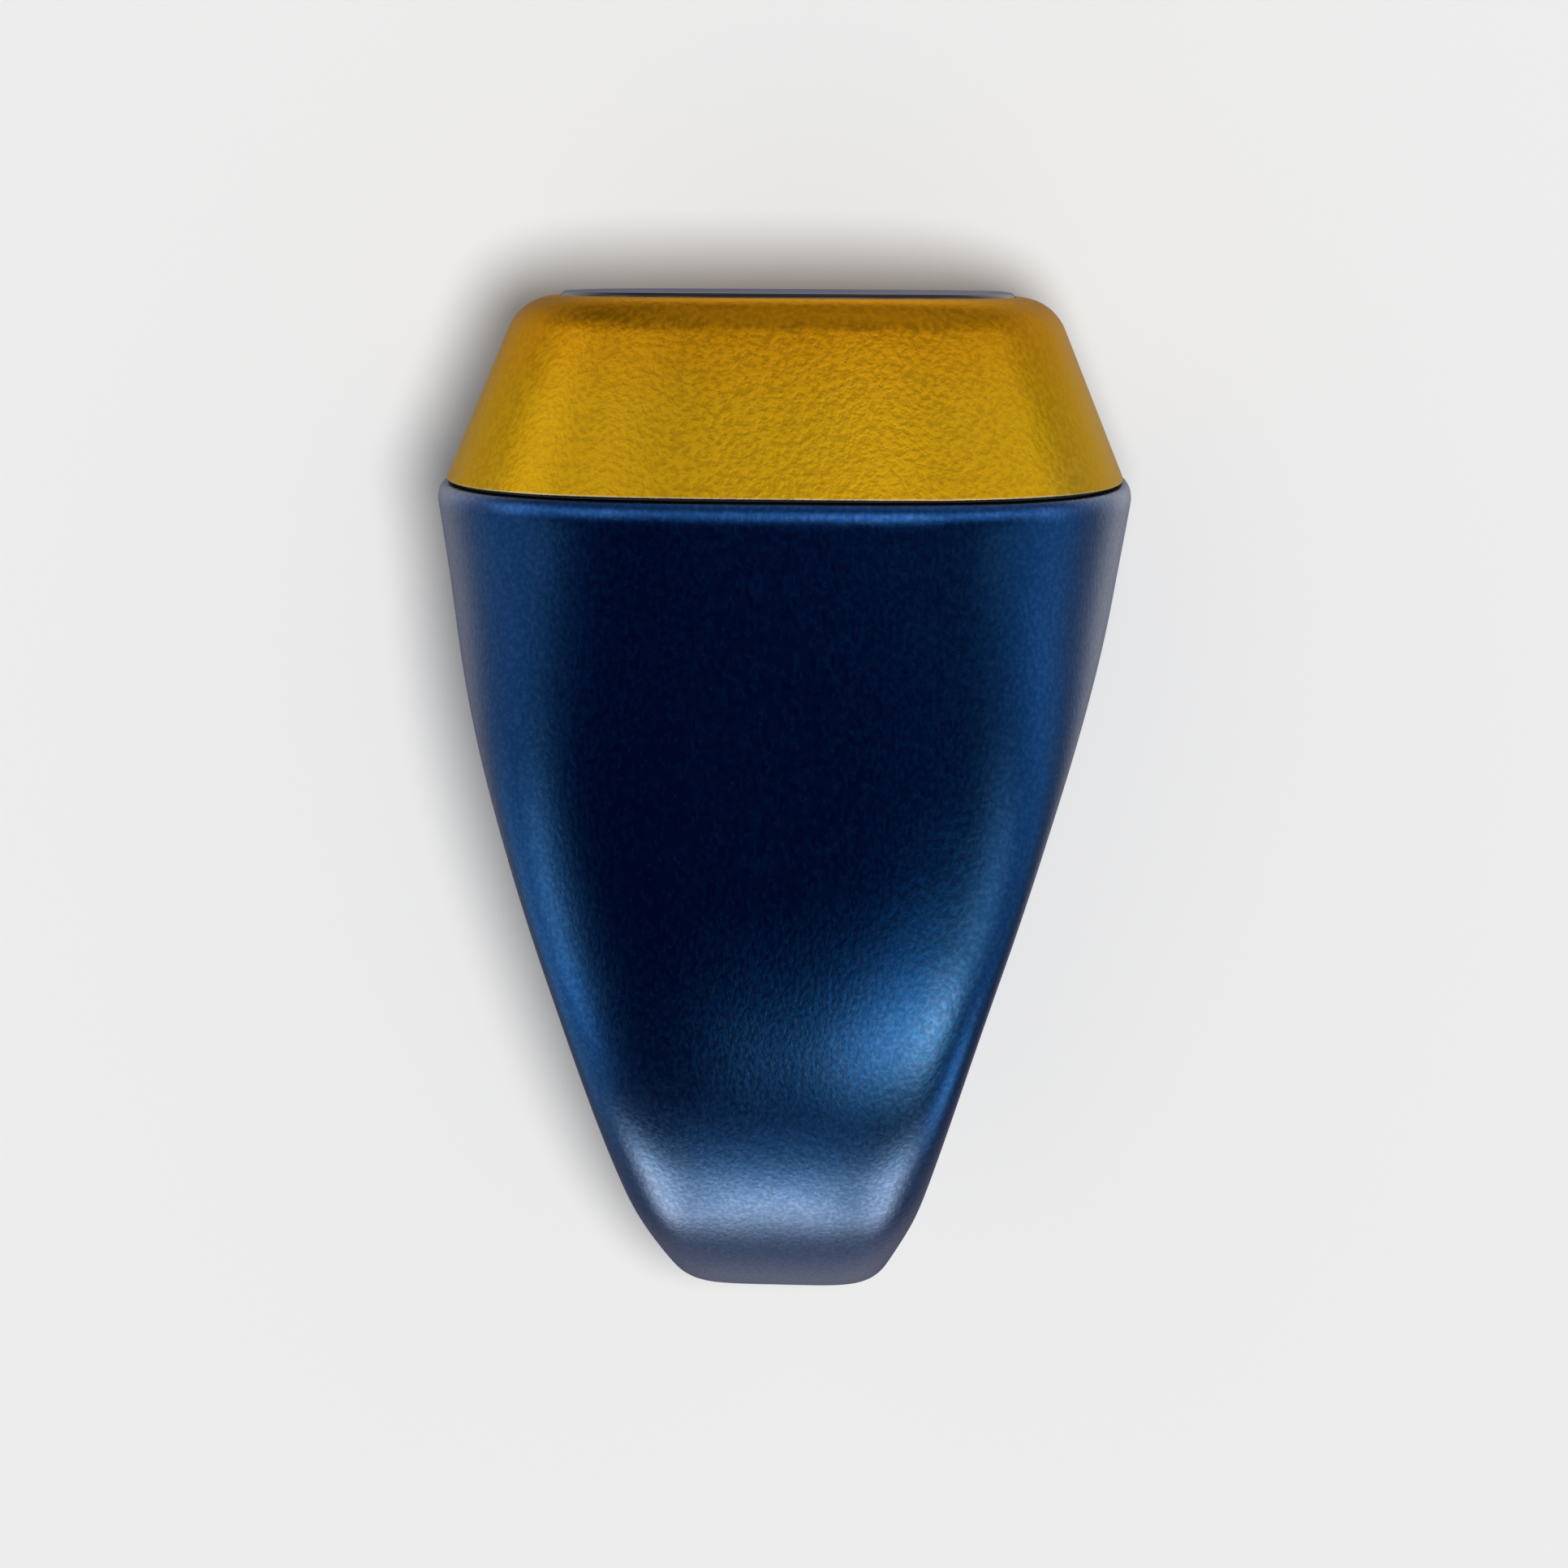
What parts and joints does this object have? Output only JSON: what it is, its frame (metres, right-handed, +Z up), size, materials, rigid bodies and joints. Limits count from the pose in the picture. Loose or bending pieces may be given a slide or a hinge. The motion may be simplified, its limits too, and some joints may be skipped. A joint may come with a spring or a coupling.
{
  "type": "counter ring",
  "caption": "Wide two-tone finger ring with a tapering band, a sloped bezel around a flat display, a side push button and charging contacts inside the bore.",
  "frame": {"origin": "centre of the finger bore", "axes": "+X along the finger, +Y across it towards the side button, +Z up through the display"},
  "size_m": [0.019, 0.025, 0.0291],
  "materials": {
    "anodised_blue": "bead-blasted and anodised dark blue",
    "anodised_gold": "bead-blasted and anodised gold",
    "cover_glass": "polished, printed black from behind",
    "seal": "matt black",
    "adhesive": "matt black film",
    "optical_film": "clear film",
    "display": "glossy black",
    "flex": "amber polyimide",
    "circuit_board": "green solder mask",
    "package": "moulded black",
    "ceramic": "fired ceramic",
    "nickel": "bright nickel",
    "tray": "moulded dark grey",
    "foam": "closed-cell foam",
    "steel": "bright steel",
    "pouch_foil": "satin foil",
    "weight": "sintered heavy metal",
    "switch_body": "moulded white",
    "gold_plate": "gold plated"
  },
  "bodies": {
    "ring": {"ring_body": "anodised_blue", "bezel": "anodised_gold", "seam_gasket": "seal", "display_glass": "cover_glass", "glass_adhesive": "adhesive", "panel_adhesive": "optical_film", "oled_panel": "display", "oled_flex": "flex", "display_connector": "package", "display_cushion": "foam", "main_board": "circuit_board", "radio_chip": "package", "power_chip": "package", "crystal": "nickel", "chip_antenna": "ceramic", "capacitor_1": "ceramic", "capacitor_2": "ceramic", "capacitor_3": "ceramic", "capacitor_4": "ceramic", "carrier_tray": "tray", "board_screw_left": "steel", "board_screw_right": "steel", "battery_cell": "pouch_foil", "battery_tab_left": "nickel", "battery_tab_right": "nickel", "motor_case": "steel", "motor_base": "circuit_board", "motor_shaft": "steel", "button_seal": "seal", "switch_housing": "switch_body", "charge_pin_left": "gold_plate", "charge_pin_right": "gold_plate", "pin_insulator_left": "package", "pin_insulator_right": "package", "contact_flex": "flex"},
    "button": {"button": "anodised_gold"},
    "switch_plunger": {"switch_plunger": "package"},
    "motor_rotor": {"motor_rotor": "weight"}
  },
  "joints": [
    {"name": "button_press", "type": "slide", "parent": "ring", "child": "button", "axis": [0, -1, 0], "range_m": [0, 0.00025], "stiffness_N_per_m": 4000},
    {"name": "plunger_press", "type": "slide", "parent": "ring", "child": "switch_plunger", "axis": [0, -1, 0], "range_m": [0, 0.00025]},
    {"name": "rotor_spin", "type": "hinge", "parent": "ring", "child": "motor_rotor", "pos_m": [0, -0.00565, 0.01133], "axis": [0, 0, 1], "continuous": true}
  ],
  "couplings": [
    {"joint": "plunger_press", "follows": "button_press", "ratio": 1}
  ]
}
